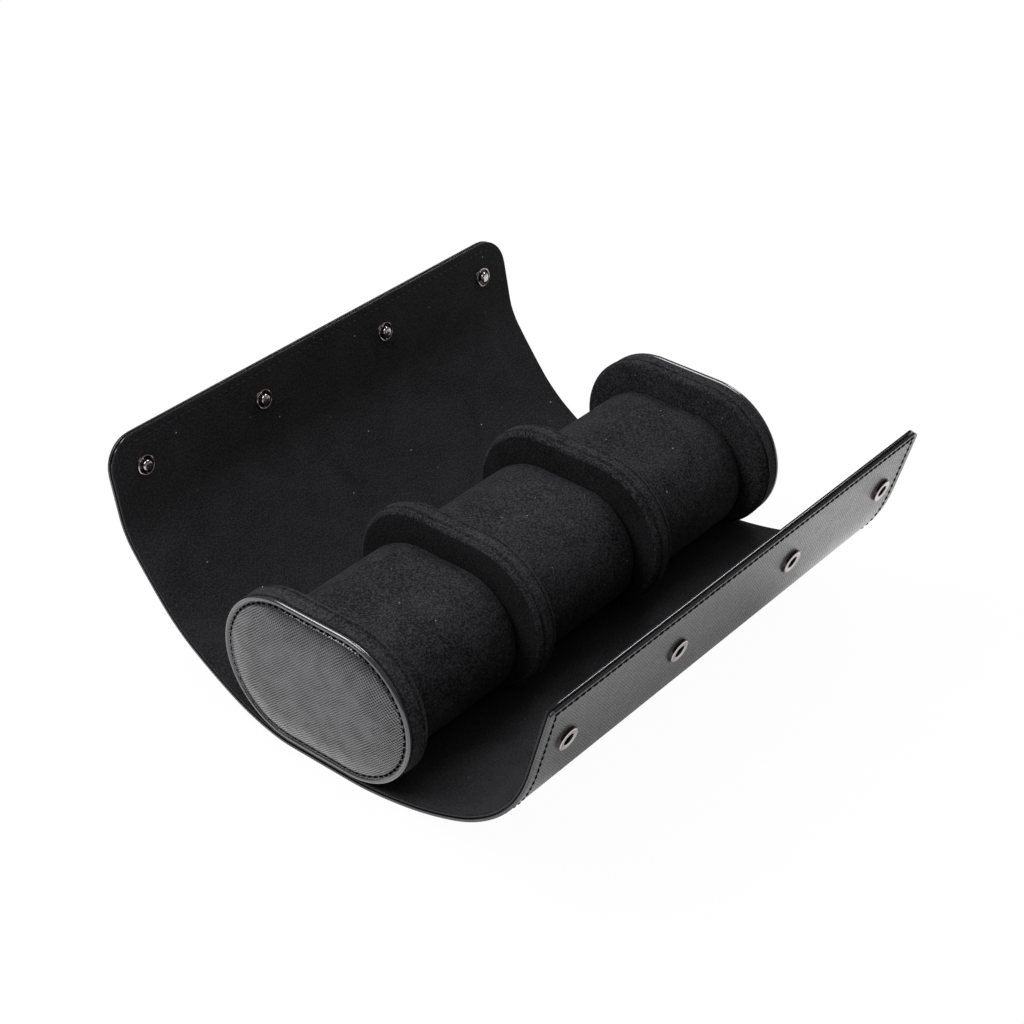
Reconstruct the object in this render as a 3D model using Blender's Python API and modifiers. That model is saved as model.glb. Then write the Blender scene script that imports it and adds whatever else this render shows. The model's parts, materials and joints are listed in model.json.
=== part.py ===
"""Three-bay roll case with a snap closure, shown open.

X runs along the roll, -Y is the front edge with the sockets, +Y the flap with
the studs, and the case rests on Z = 0. The flexible wrap is a row of strips,
each turning about a fold line on its inner surface.
"""

import math

import bmesh
import bpy
from mathutils import Matrix, Vector

# Plies of the wrap, and the lines between its strips
WRAP_LENGTH = 0.2050
LEATHER = 0.0007
BOARD = 0.0007
LINING = 0.0007
GLUE_LINE = 0.0003
FOLD_GAP = 0.0003
PLY_INSET = 0.0010

# Upright rims: two end caps and two dividers with one outline
RIM_WIDTH = 0.0840
RIM_HEIGHT = 0.0580
RIM_ROUNDING = 0.0018
CAP_THICKNESS = 0.0095
CAP_PAST_WRAP_END = 0.0005
DIVIDER_THICKNESS = 0.0092
BAYS = 3
GLUED_SHARE = 0.8
SUEDE = 0.0008
SEAT = 0.0003

# Leather face of an end cap and the welt round it
WELT_DIAMETER = 0.0018
FACE_EDGE = 0.0012
FACE_DOME = 0.0011
FACE_SLOPE = 0.0170

# Pillows
PILLOW_WIDTH = 0.0690
PILLOW_HEIGHT = 0.0490
PILLOW_ROUNDING = 0.0045
PILLOW_CROWN = 0.0006
PILLOW_SEAM_LENGTH = 0.0300
PILLOW_SEAM_WIDTH = 0.0006

# Walls: each bends a little at rest, and closes round the rims
WALL_STRIPS = 4
WALL_CLEARANCE = 0.0005
FRONT_EASE = 0.0003
BACK_EASE = 0.0012
FRONT_BENDS = (6, 7, 9, 21, 23)
BACK_BENDS = (12, 16, 6, 17, 3)

# Front tab and back flap, each a short bend and a flat part
TAB_BEND = 9
TAB_BEND_LENGTH = 0.0110
TAB_FLAT = 0.0270
FLAP_BEND = 25
FLAP_BEND_LENGTH = 0.0125
FLAP_FLAT = 0.0270
FLAP_CORNER = 0.0120

# Snap fasteners
SNAP_INNER_X = 0.0320
SNAP_FROM_END = 0.0140
STUD_FROM_TIP = 0.0130
SOCKET_FROM_EDGE = 0.0206
STUD_RADIUS = 0.00475
STUD_BASE = 0.0008
STUD_VALLEY = 0.0005
STUD_BALL_RADIUS = 0.0020
STUD_BALL_HEIGHT = 0.0019
SOCKET_RADIUS = 0.0050
SOCKET_HEIGHT = 0.0018
SOCKET_CLEARANCE = 0.0003
SNAP_CAP_RADIUS = 0.0056
SNAP_CAP_DOME = 0.0016
SHANK_RADIUS = 0.0010
POST_RADIUS = 0.0045
POST_TUBE_RADIUS = 0.0017
POST_BORE_RADIUS = 0.0010
RUNNING_FIT = 0.0003

# Smoothness of round shapes
RIM_STEPS = 14
SNAP_STEPS = 16
ROUNDING_STEPS = 2
DOME_STEPS = 3
BEND_STEP = math.radians(4.5)

# Sizes worked out from the ones above
WRAP = LEATHER + BOARD + LINING + 2 * GLUE_LINE
PADDED_LINING = BOARD + GLUE_LINE + LINING
RIM_FLAT = RIM_WIDTH - RIM_HEIGHT
RIM_CENTRE = WRAP + SEAT + RIM_HEIGHT / 2
CAP_OUTER = WRAP_LENGTH / 2 + CAP_PAST_WRAP_END
CAP_INNER = CAP_OUTER - CAP_THICKNESS
BAY = (2 * CAP_INNER - (BAYS - 1) * DIVIDER_THICKNESS) / BAYS
BAY_PITCH = BAY + DIVIDER_THICKNESS
WALL_STEP = math.pi * (RIM_HEIGHT / 2 + WALL_CLEARANCE) / (WALL_STRIPS + 1)
SNAP_OUTER_X = WRAP_LENGTH / 2 - SNAP_FROM_END
SNAP_XS = (-SNAP_OUTER_X, -SNAP_INNER_X, SNAP_INNER_X, SNAP_OUTER_X)
LEATHER_TOP = WRAP - LEATHER
BOARD_TOP = LINING + GLUE_LINE


def new_collection(name):
    collection = bpy.data.collections.new(name)
    bpy.context.scene.collection.children.link(collection)
    return collection


def new_material(name, colour, roughness, metallic=0.0):
    material = bpy.data.materials.new(name)
    material.use_nodes = True
    shader = material.node_tree.nodes["Principled BSDF"]
    shader.inputs["Base Color"].default_value = (*colour, 1.0)
    shader.inputs["Roughness"].default_value = roughness
    shader.inputs["Metallic"].default_value = metallic
    return material


def new_piece(name, bm, material, parent, matrix=None):
    """Object made from a bmesh and placed in its parent's frame."""
    mesh = bpy.data.meshes.new(name)
    bm.to_mesh(mesh)
    bm.free()
    piece = bpy.data.objects.new(name, mesh)
    parts.objects.link(piece)
    mesh.materials.append(material)
    mesh.shade_smooth()
    mesh.set_sharp_from_angle(angle=math.radians(35))
    piece.parent = parent
    piece.matrix_basis = matrix or Matrix.Identity(4)
    return piece


def new_frame(name, parent, matrix):
    """Empty that carries the pieces of one moving body."""
    frame = bpy.data.objects.new(name, None)
    parts.objects.link(frame)
    frame.empty_display_size = 0.01
    frame.parent = parent
    frame.matrix_basis = matrix
    return frame


def along(path, distance, depth=0.0):
    """Frame at a distance along a strip's inner surface, and `depth` under it.

    A path is a row of (length, bend in degrees). Y follows the strip and Z
    points into the case.
    """
    point = Vector((0.0, 0.0, 0.0))
    slope = 0.0
    for length, bend in path:
        step = min(distance, length)
        turn = math.radians(bend) * step / length
        chord = step * (math.sin(turn / 2) / (turn / 2) if turn else 1.0)
        middle = slope + turn / 2
        point += Vector((0.0, math.cos(middle), math.sin(middle))) * chord
        slope += turn
        distance -= step
    turned = Matrix.Rotation(slope, 4, "X")
    return Matrix.Translation(point) @ turned @ Matrix.Translation((0, 0, -depth))


def path_length(path):
    return sum(length for length, bend in path)


def stations(path, start, end):
    """Distances along a path, close together where it bends."""
    found = [start]
    begin = 0.0
    for length, bend in path:
        low, high = max(begin, start), min(begin + length, end)
        steps = max(1, math.ceil(abs(math.radians(bend)) / BEND_STEP))
        if high > low:
            found += [low + (high - low) * k / steps for k in range(1, steps + 1)]
        begin += length
    return found


def ply(name, parent, path, top, thickness, material, inset=0.0, free=False, corner=0.0):
    """One layer of a strip, from a grid bent along the path and thickened.

    A free strip ends at the wrap's edge, and the others at a fold line.
    """
    start = FOLD_GAP / 2
    last = path_length(path) - (inset if free else FOLD_GAP / 2)
    half = WRAP_LENGTH / 2 - inset
    rows = stations(path, start, last - corner)
    widths = [half] * len(rows)
    for k in range(1, RIM_STEPS // 2 + 1) if corner else ():
        angle = math.pi / 2 * k / (RIM_STEPS // 2)
        rows.append(last - corner * (1 - math.sin(angle)))
        widths.append(half - corner * (1 - math.cos(angle)))
    bm = bmesh.new()
    bmesh.ops.create_grid(bm, x_segments=1, y_segments=len(rows) - 1, size=1.0)
    for vertex in bm.verts:
        row = round((vertex.co.y + 1) / 2 * (len(rows) - 1))
        side = 1 if vertex.co.x > 0 else -1
        place = along(path, rows[row], top)
        vertex.co = place @ Vector((side * widths[row], 0.0, 0.0))
    piece = new_piece(name, bm, material, parent)
    shell = piece.modifiers.new("thickness", "SOLIDIFY")
    shell.thickness = thickness
    shell.offset = -1
    shell.use_even_offset = True
    return piece


def stadium(width, height, inset=0.0):
    """Outline with flat top and bottom and round ends, anticlockwise in Y and Z."""
    radius = height / 2 - inset
    flat = (width - height) / 2
    outline = []
    for side in (1, -1):
        for k in range(RIM_STEPS + 1):
            angle = math.pi * (k / RIM_STEPS - 0.5)
            outline.append(
                (side * (flat + radius * math.cos(angle)), side * radius * math.sin(angle))
            )
    return outline


def rounded_ends(low, high, rounding, inside=0.0):
    """Sections (x, inset) of a body from low to high whose rims are rounded.

    With `inside`, the body lies that far inside the one without it.
    """
    first, second = [], []
    for k in range(ROUNDING_STEPS + 1):
        angle = math.pi / 2 * k / ROUNDING_STEPS
        inset = inside + rounding * (1 - math.sin(angle))
        from_end = inside + rounding * (1 - math.cos(angle))
        first.append((low + from_end, inset))
        second.append((high - from_end, inset))
    return first + second[::-1]


def loft(width, height, sections, open_start=False, open_end=False, seam=None):
    """Skin over racetrack sections across X, centred on its own middle."""
    bm = bmesh.new()
    rings = []
    for x, inset in sections:
        outline = stadium(width, height, inset)
        if seam:
            bottom = -(height / 2 - inset)
            outline += [(-seam / 2, bottom), (seam / 2, bottom)]
        verts = [bm.verts.new((x, y, z)) for y, z in outline]
        edges = [bm.edges.new((a, b)) for a, b in zip(verts, verts[1:] + verts[:1])]
        rings.append((verts, edges))
    for (_, before), (_, after) in zip(rings, rings[1:]):
        bmesh.ops.bridge_loops(bm, edges=before + after)
    if not open_start:
        bm.faces.new(rings[0][0])
    if not open_end:
        bm.faces.new(rings[-1][0])
    bmesh.ops.recalc_face_normals(bm, faces=bm.faces)
    return bm


def remove_underside(bm, half_x, half_y, bottom):
    """Opens the flat underside between two sections."""
    doomed = []
    for face in bm.faces:
        centre = face.calc_center_median()
        low = centre.z < bottom + 0.0005 and abs(face.normal.z) > 0.9
        if low and abs(centre.x) < half_x and abs(centre.y) < half_y:
            doomed.append(face)
    bmesh.ops.delete(bm, geom=doomed, context="FACES")


def skin_inwards(piece):
    """Thickens the outer surface of a suede cover towards its inside."""
    shell = piece.modifiers.new("thickness", "SOLIDIFY")
    shell.thickness = SUEDE
    shell.offset = -1
    shell.use_even_offset = True


def turned(name, profile, material, parent, matrix, closed=False):
    """Round piece: a profile of (radius, height) from top to bottom, spun about Z."""
    bm = bmesh.new()
    verts = [bm.verts.new((radius, 0.0, height)) for radius, height in profile]
    for a, b in zip(verts, verts[1:]):
        bm.edges.new((a, b))
    if closed:
        bm.edges.new((verts[-1], verts[0]))
    piece = new_piece(name, bm, material, parent, matrix)
    screw = piece.modifiers.new("turn", "SCREW")
    screw.steps = SNAP_STEPS
    screw.render_steps = SNAP_STEPS
    screw.use_merge_vertices = True
    screw.merge_threshold = 1e-5
    screw.use_smooth_shade = True
    return piece


def cut_holes(name, pieces, parent, matrix, radius):
    """Cuts one round hole for each snap through plies of the wrap."""
    bm = bmesh.new()
    for x in SNAP_XS:
        bmesh.ops.create_cone(
            bm,
            cap_ends=True,
            segments=SNAP_STEPS,
            radius1=radius,
            radius2=radius,
            depth=4 * WRAP,
            matrix=Matrix.Translation((x, 0, -WRAP / 2)),
        )
    mesh = bpy.data.meshes.new(name)
    bm.to_mesh(mesh)
    bm.free()
    cutter = bpy.data.objects.new(name, mesh)
    cutters.objects.link(cutter)
    cutter.parent = parent
    cutter.matrix_basis = matrix
    cutter.hide_render = True
    cutter.display_type = "WIRE"
    for piece in pieces:
        cut = piece.modifiers.new("snap holes", "BOOLEAN")
        cut.operation = "DIFFERENCE"
        cut.solver = "EXACT"
        cut.object = cutter


def reinforced_plies(name, frame, path, free=False, corner=0.0):
    """Lining, board and leather of a strip that stays stiff."""
    inner = (PLY_INSET, free, max(corner - PLY_INSET, 0.0))
    return [
        ply(f"{name}_lining", frame, path, 0.0, LINING, suede, *inner),
        ply(f"{name}_board", frame, path, BOARD_TOP, BOARD, board, *inner),
        ply(f"{name}_leather", frame, path, LEATHER_TOP, LEATHER, leather, 0.0, free, corner),
    ]


def make_wall(name, frame, ease, bends):
    """Strips of a wall, each hinged to the one before. Gives the frame at its end."""
    for number, bend in enumerate(bends, 1):
        path = [(WALL_STEP + ease, bend)]
        strip = f"{name}_{number}"
        ply(f"{strip}_leather", frame, path, LEATHER_TOP, LEATHER, leather)
        ply(f"{strip}_lining", frame, path, 0.0, PADDED_LINING, suede, PLY_INSET)
        hinge = f"{name}_{number + 1}_hinge"
        frame = new_frame(hinge, frame, along(path, path_length(path)))
    return frame


def make_wrap(case):
    """Base, both walls, front tab and back flap. Gives the frames that hold snaps."""
    base_path = [
        (WALL_STEP / 2, FRONT_BENDS[0]),
        (RIM_FLAT, 0),
        (WALL_STEP / 2, BACK_BENDS[0]),
    ]
    flat_start = Matrix.Translation((0, -RIM_FLAT / 2, WRAP))
    base_matrix = flat_start @ along(base_path, WALL_STEP / 2).inverted()
    base = new_frame("base_frame", case, base_matrix)
    reinforced_plies("base", base, base_path)

    about = Matrix.Rotation(math.pi, 4, "Z")
    front = new_frame("front_1_hinge", base, about)
    back = new_frame("back_1_hinge", base, along(base_path, path_length(base_path)))
    front = make_wall("front", front, FRONT_EASE, FRONT_BENDS[1:])
    back = make_wall("back", back, BACK_EASE, BACK_BENDS[1:])
    return front, back


def make_snap_studs(flap, path):
    """Studs inside the flap, held by domed caps whose shanks pass through it."""
    seat = along(path, path_length(path) - STUD_FROM_TIP)
    ball = STUD_BASE + STUD_BALL_HEIGHT
    bore = SHANK_RADIUS + RUNNING_FIT
    shank = SEAT + STUD_BASE
    neck = STUD_BALL_RADIUS * 0.85
    stud = [
        (0.0, ball),
        (STUD_BALL_RADIUS * 0.7, ball),
        (STUD_BALL_RADIUS, ball - STUD_BALL_HEIGHT / 3),
        (neck, STUD_VALLEY),
        (STUD_RADIUS * 0.78, STUD_VALLEY),
        (STUD_RADIUS * 0.88, STUD_BASE),
        (STUD_RADIUS, STUD_BASE / 2),
        (STUD_RADIUS, 0.0),
        (bore, 0.0),
        (bore, STUD_BASE + RUNNING_FIT),
        (0.0, STUD_BASE + RUNNING_FIT),
    ]
    head = -WRAP - SEAT
    cap = [
        (0.0, shank),
        (SHANK_RADIUS, shank),
        (SHANK_RADIUS, head),
        (SNAP_CAP_RADIUS, head),
        (SNAP_CAP_RADIUS, head - SNAP_CAP_DOME * 0.35),
        (SNAP_CAP_RADIUS * 0.75, head - SNAP_CAP_DOME * 0.85),
        (0.0, head - SNAP_CAP_DOME),
    ]
    for number, x in enumerate(SNAP_XS, 1):
        place = seat @ Matrix.Translation((x, 0, 0))
        raised = place @ Matrix.Translation((0, 0, SEAT))
        turned(f"snap_stud_{number}", stud, metal, flap, raised)
        turned(f"snap_cap_{number}", cap, metal, flap, place)
    return seat


def make_snap_sockets(tab, path):
    """Sockets outside the front tab, held by tubular posts sunk in its lining."""
    seat = along(path, path_length(path) - SOCKET_FROM_EDGE)
    hole = STUD_BALL_RADIUS + SOCKET_CLEARANCE
    socket = [
        (hole, 0.0),
        (SOCKET_RADIUS * 0.9, 0.0),
        (SOCKET_RADIUS, -SOCKET_HEIGHT * 0.25),
        (SOCKET_RADIUS, -SOCKET_HEIGHT * 0.75),
        (SOCKET_RADIUS * 0.82, -SOCKET_HEIGHT),
        (hole + 0.0006, -SOCKET_HEIGHT),
        (hole, -SOCKET_HEIGHT + 0.0004),
    ]
    under_head = SEAT - BOARD_TOP
    post = [
        (POST_BORE_RADIUS, under_head * 0.4),
        (POST_RADIUS * 0.5, 0.0),
        (POST_RADIUS * 0.9, under_head * 0.1),
        (POST_RADIUS, under_head),
        (POST_TUBE_RADIUS, under_head),
        (POST_TUBE_RADIUS, -WRAP),
        (POST_BORE_RADIUS, -WRAP),
    ]
    for number, x in enumerate(reversed(SNAP_XS), 1):
        place = seat @ Matrix.Translation((x, 0, 0))
        lowered = place @ Matrix.Translation((0, 0, -WRAP - SEAT))
        turned(f"snap_socket_{number}", socket, metal, tab, lowered, closed=True)
        turned(f"snap_post_{number}", post, metal, tab, place, closed=True)
    return seat


def core_sections(low, high, open_end=False):
    """Board that fills a suede cover from low to high, its edges chamfered."""
    inset = SUEDE + SEAT
    narrow = inset + RIM_ROUNDING / 2
    sections = [(low + inset, narrow), (low + inset + RIM_ROUNDING, inset)]
    if open_end:
        return sections + [(high, inset)]
    return sections + [(high - inset - RIM_ROUNDING, inset), (high - inset, narrow)]


def dome_sections(low):
    """Padded face of an end cap, inside its welt and swelling towards its middle."""
    edge = WELT_DIAMETER + SEAT
    sections = [(low, edge)]
    for k in range(DOME_STEPS + 1):
        angle = math.pi / 2 * k / DOME_STEPS
        rise = FACE_EDGE + FACE_DOME * math.sin(angle)
        reach = FACE_SLOPE * (1 - math.cos(angle))
        sections.append((low + rise, edge + reach))
    return sections


def make_end_cap(name, carrier, outward):
    """Board in a suede tray, with a padded leather face and a welt round it."""
    facing = Matrix.Rotation(0 if outward > 0 else math.pi, 4, "Z")
    place = Matrix.Translation((0, 0, RIM_CENTRE)) @ facing
    face_back = CAP_OUTER - WELT_DIAMETER
    tray_end = face_back - SEAT

    rounded = rounded_ends(CAP_INNER, tray_end, RIM_ROUNDING)
    sections = rounded[: ROUNDING_STEPS + 1] + [(tray_end, 0.0)]
    skin = loft(RIM_WIDTH, RIM_HEIGHT, sections, open_end=True)
    skin_inwards(new_piece(f"{name}_cover", skin, suede, carrier, place))
    core = loft(RIM_WIDTH, RIM_HEIGHT, core_sections(CAP_INNER, tray_end, open_end=True))
    new_piece(f"{name}_core", core, board, carrier, place)
    face = loft(RIM_WIDTH, RIM_HEIGHT, dome_sections(face_back))
    new_piece(f"{name}_face", face, leather, carrier, place)
    welt_place = place @ Matrix.Translation((CAP_OUTER - WELT_DIAMETER / 2, 0, 0))
    make_welt(f"{name}_welt", carrier, welt_place)


def make_welt(name, case, matrix):
    """Closed leather cord round the edge of an end cap."""
    curve = bpy.data.curves.new(name, "CURVE")
    curve.dimensions = "3D"
    curve.bevel_depth = WELT_DIAMETER / 2
    curve.bevel_resolution = 1
    curve.resolution_u = 1
    outline = stadium(RIM_WIDTH, RIM_HEIGHT, WELT_DIAMETER / 2)
    spline = curve.splines.new("POLY")
    spline.points.add(len(outline) - 1)
    for point, (y, z) in zip(spline.points, outline):
        point.co = (0.0, y, z, 1.0)
    spline.use_cyclic_u = True
    welt = bpy.data.objects.new(name, curve)
    parts.objects.link(welt)
    curve.materials.append(leather)
    welt.parent = case
    welt.matrix_basis = matrix


def make_divider(number, carrier):
    """Board in a suede cover that is open underneath, where it is glued down."""
    x = (number - BAYS / 2) * BAY_PITCH
    half = DIVIDER_THICKNESS / 2
    place = Matrix.Translation((x, 0, RIM_CENTRE))
    sections = rounded_ends(-half, half, RIM_ROUNDING)
    skin = loft(RIM_WIDTH, RIM_HEIGHT, sections, seam=GLUED_SHARE * RIM_FLAT)
    remove_underside(skin, half - RIM_ROUNDING, GLUED_SHARE * RIM_FLAT / 2, -RIM_HEIGHT / 2)
    skin_inwards(new_piece(f"divider_{number}_cover", skin, suede, carrier, place))
    core = loft(RIM_WIDTH, RIM_HEIGHT, core_sections(-half, half))
    new_piece(f"divider_{number}_core", core, board, carrier, place)


def crowned(half, sections):
    """Draws a pillow's sections in a little towards its ends."""
    return [(x, inset + PILLOW_CROWN * (x / half) ** 2) for x, inset in sections]


def make_pillow(number, carrier):
    """Foam block in a sewn suede cover, closed by a seam underneath."""
    x = (number - (BAYS + 1) / 2) * BAY_PITCH
    half = BAY / 2 - RUNNING_FIT
    centre = WRAP + SEAT + PILLOW_HEIGHT / 2
    place = Matrix.Translation((x, 0, centre))
    frame = new_frame(f"pillow_{number}_slide", carrier, place)

    ends = rounded_ends(-half, half, PILLOW_ROUNDING)
    seam_ends = [(-PILLOW_SEAM_LENGTH / 2, 0.0), (PILLOW_SEAM_LENGTH / 2, 0.0)]
    middle = len(ends) // 2
    outer = crowned(half, ends[:middle] + seam_ends + ends[middle:])
    skin = loft(PILLOW_WIDTH, PILLOW_HEIGHT, outer, seam=PILLOW_SEAM_WIDTH)
    bottom = -PILLOW_HEIGHT / 2
    remove_underside(skin, PILLOW_SEAM_LENGTH / 4, PILLOW_SEAM_WIDTH / 2, bottom)
    skin_inwards(new_piece(f"pillow_{number}_cover", skin, suede, frame))

    inner = crowned(half, rounded_ends(-half, half, PILLOW_ROUNDING, SUEDE + SEAT))
    block = loft(PILLOW_WIDTH, PILLOW_HEIGHT, inner)
    new_piece(f"pillow_{number}_foam", block, foam, frame)


for old in list(bpy.data.objects):
    bpy.data.objects.remove(old, do_unlink=True)

parts = new_collection("roll_case")
cutters = new_collection("cutters")
leather = new_material("black_leather", (0.012, 0.012, 0.013), 0.38)
suede = new_material("black_suede", (0.010, 0.010, 0.011), 0.95)
board = new_material("stiffener_board", (0.30, 0.28, 0.25), 0.85)
foam = new_material("pillow_foam", (0.62, 0.62, 0.60), 0.90)
metal = new_material("gunmetal", (0.20, 0.18, 0.18), 0.28, 1.0)

case = new_frame("case_frame", None, Matrix.Identity(4))
tab, flap = make_wrap(case)

tab_path = [(TAB_BEND_LENGTH, TAB_BEND), (TAB_FLAT, 0)]
tab_plies = reinforced_plies("tab", tab, tab_path, free=True)
tab_seat = make_snap_sockets(tab, tab_path)
cut_holes("post_recesses", tab_plies[:1], tab, tab_seat, POST_RADIUS + RUNNING_FIT)
cut_holes("post_holes", tab_plies[1:], tab, tab_seat, POST_TUBE_RADIUS + RUNNING_FIT)

flap_path = [(FLAP_BEND_LENGTH, FLAP_BEND), (FLAP_FLAT, 0)]
flap_plies = reinforced_plies("flap", flap, flap_path, free=True, corner=FLAP_CORNER)
flap_seat = make_snap_studs(flap, flap_path)
cut_holes("shank_holes", flap_plies, flap, flap_seat, SHANK_RADIUS + RUNNING_FIT)

for name, outward in (("left_cap", -1), ("right_cap", 1)):
    make_end_cap(name, case, outward)
for number in range(1, BAYS):
    make_divider(number, case)
for number in range(1, BAYS + 1):
    make_pillow(number, case)
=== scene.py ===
import json
import math

import bmesh
import bpy
import numpy as np
from mathutils import Matrix, Vector


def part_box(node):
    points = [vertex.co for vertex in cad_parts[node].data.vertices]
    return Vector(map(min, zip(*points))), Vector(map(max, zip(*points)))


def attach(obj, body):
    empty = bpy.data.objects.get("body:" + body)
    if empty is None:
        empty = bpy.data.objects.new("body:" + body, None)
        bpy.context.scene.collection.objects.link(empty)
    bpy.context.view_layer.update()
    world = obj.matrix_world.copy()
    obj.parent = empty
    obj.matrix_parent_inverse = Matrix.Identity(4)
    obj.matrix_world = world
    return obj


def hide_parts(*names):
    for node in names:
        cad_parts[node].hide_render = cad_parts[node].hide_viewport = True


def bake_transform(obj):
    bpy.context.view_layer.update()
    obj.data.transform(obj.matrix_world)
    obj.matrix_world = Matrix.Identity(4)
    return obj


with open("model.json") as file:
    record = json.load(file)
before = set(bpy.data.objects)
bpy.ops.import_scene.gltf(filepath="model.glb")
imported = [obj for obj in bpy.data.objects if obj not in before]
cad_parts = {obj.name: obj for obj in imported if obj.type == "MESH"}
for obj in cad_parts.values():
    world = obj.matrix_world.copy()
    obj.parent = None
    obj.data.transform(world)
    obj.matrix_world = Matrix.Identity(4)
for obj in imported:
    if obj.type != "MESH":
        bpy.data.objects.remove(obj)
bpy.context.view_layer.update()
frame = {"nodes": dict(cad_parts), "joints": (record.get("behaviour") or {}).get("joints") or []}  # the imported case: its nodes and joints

mm = 0.001
joints = {joint["name"]: joint for joint in frame["joints"]}


# Camera at the photograph's viewing angle

shot = {
    "azimuth": -50.02,  # degrees, 0 looks along +Y
    "elevation": 34.18,
    "roll": -0.02,
    "across": -1.74 * mm,  # offsets of the camera in its own frame
    "up": 40.4 * mm,
    "away": 804.4 * mm,
    "lens": 77.6,  # millimetres on a 36 mm sensor
}


def makeCamera():
    a, e, roll = (math.radians(shot[key]) for key in ("azimuth", "elevation", "roll"))
    back = Vector((math.sin(a) * math.cos(e), -math.cos(a) * math.cos(e), math.sin(e)))
    level = Vector((math.cos(a), math.sin(a), 0.0))
    upright = back.cross(level)
    right = level * math.cos(roll) + upright * math.sin(roll)
    up = upright * math.cos(roll) - level * math.sin(roll)
    camera = bpy.data.objects.new("camera", bpy.data.cameras.new("camera"))
    bpy.context.scene.collection.objects.link(camera)
    camera.data.lens = shot["lens"]
    camera.data.sensor_width = 36
    camera.data.clip_start = 0.01
    turn = Matrix((right, up, back)).transposed().to_4x4()
    place = right * shot["across"] + up * shot["up"] + back * shot["away"]
    camera.matrix_world = Matrix.Translation(place) @ turn
    bpy.context.scene.camera = camera


makeCamera()
print("camera placed")


# Shader building

def setInputs(tree, node, values):
    # Links each value that is a socket, and sets any other on the input itself
    for key, value in values.items():
        if isinstance(value, bpy.types.NodeSocket):
            tree.links.new(value, node.inputs[key])
        else:
            node.inputs[key].default_value = value


def addNode(tree, kind, inputs=None, **settings):
    node = tree.nodes.new(kind)
    for key, value in settings.items():
        setattr(node, key, value)
    setInputs(tree, node, inputs or {})
    return node


def maths(tree, operation, a, b=0.0):
    return addNode(tree, "ShaderNodeMath", {0: a, 1: b}, operation=operation).outputs[0]


def remap(tree, value, low, high, newLow=0.0, newHigh=1.0):
    inputs = {"Value": value, "From Min": low, "From Max": high, "To Min": newLow, "To Max": newHigh}
    return addNode(tree, "ShaderNodeMapRange", inputs).outputs[0]


def newGroup(name, amount, outputs):
    # Takes a vector and an amount, and gives numbers
    tree = bpy.data.node_groups.new(name, "ShaderNodeTree")
    tree.interface.new_socket(name="Vector", in_out="INPUT", socket_type="NodeSocketVector")
    tree.interface.new_socket(name=amount, in_out="INPUT", socket_type="NodeSocketFloat")
    for label in outputs:
        tree.interface.new_socket(name=label, in_out="OUTPUT", socket_type="NodeSocketFloat")
    return tree, tree.nodes.new("NodeGroupInput"), tree.nodes.new("NodeGroupOutput")


def noise(tree, place, scale, detail=2.0, roughness=0.5, distortion=0.0):
    inputs = {"Vector": place, "Scale": scale, "Detail": detail}
    inputs.update({"Roughness": roughness, "Distortion": distortion})
    return addNode(tree, "ShaderNodeTexNoise", inputs).outputs["Fac"]


grain = {
    "ribs": ((40, 0.45), (-48.5, 0.7)),  # lean in degrees, and strength where the set is faintest
    "spacing": 0.83 * mm,
    "wander": 0.9,  # how far the ribs stray from straight, in spacings
    "wanderScale": 320,
    "patchScale": 210,
    "crackScale": 1500,
    "mottleScale": 55,
}


def makeHatchedGrain():
    # Two crossed sets of fine ribs, broken up as pressed leather grain is
    tree, given, result = newGroup("hatchedGrain", "Breakup", ["Height", "Ridge", "Mottle"])
    place = given.outputs["Vector"]
    wander = maths(tree, "MULTIPLY", noise(tree, place, grain["wanderScale"]), grain["wander"])
    ribs = []
    for lean, faintest in grain["ribs"]:
        turn = {"Vector": place, "Angle": math.radians(lean)}
        turned = addNode(tree, "ShaderNodeVectorRotate", turn).outputs[0]
        across = addNode(tree, "ShaderNodeSeparateXYZ", {"Vector": turned}).outputs["X"]
        phase = maths(tree, "ADD", maths(tree, "DIVIDE", across, grain["spacing"]), wander)
        wave = maths(tree, "SINE", maths(tree, "MULTIPLY", phase, 2 * math.pi))
        strength = remap(tree, noise(tree, turned, grain["patchScale"]), 0.35, 0.65, faintest, 1.0)
        ribs.append(maths(tree, "MULTIPLY", remap(tree, wave, -0.6, 1), strength))
    hatch = maths(tree, "MULTIPLY", maths(tree, "ADD", ribs[0], ribs[1]), 0.5)
    crack = addNode(tree, "ShaderNodeTexVoronoi", {"Vector": place, "Scale": grain["crackScale"]})
    rough = maths(tree, "MULTIPLY", crack.outputs["Distance"], given.outputs["Breakup"])
    mottle = remap(tree, noise(tree, place, grain["mottleScale"], 3), 0.3, 0.7)
    height = maths(tree, "ADD", hatch, rough)
    setInputs(tree, result, {"Height": height, "Ridge": hatch, "Mottle": mottle})
    return tree


nap = {
    "fibreScale": 1500,
    "brushScale": 42,
    "patchScale": 260,
    "patchShare": 0.35,
    "lintScale": 300,
    "lintSize": (0.03, 0.08),  # least and greatest, as shares of the lint's spacing
    "lintShare": 0.8,  # share of the spots that hold lint when Lint Amount is 1
}


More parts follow.
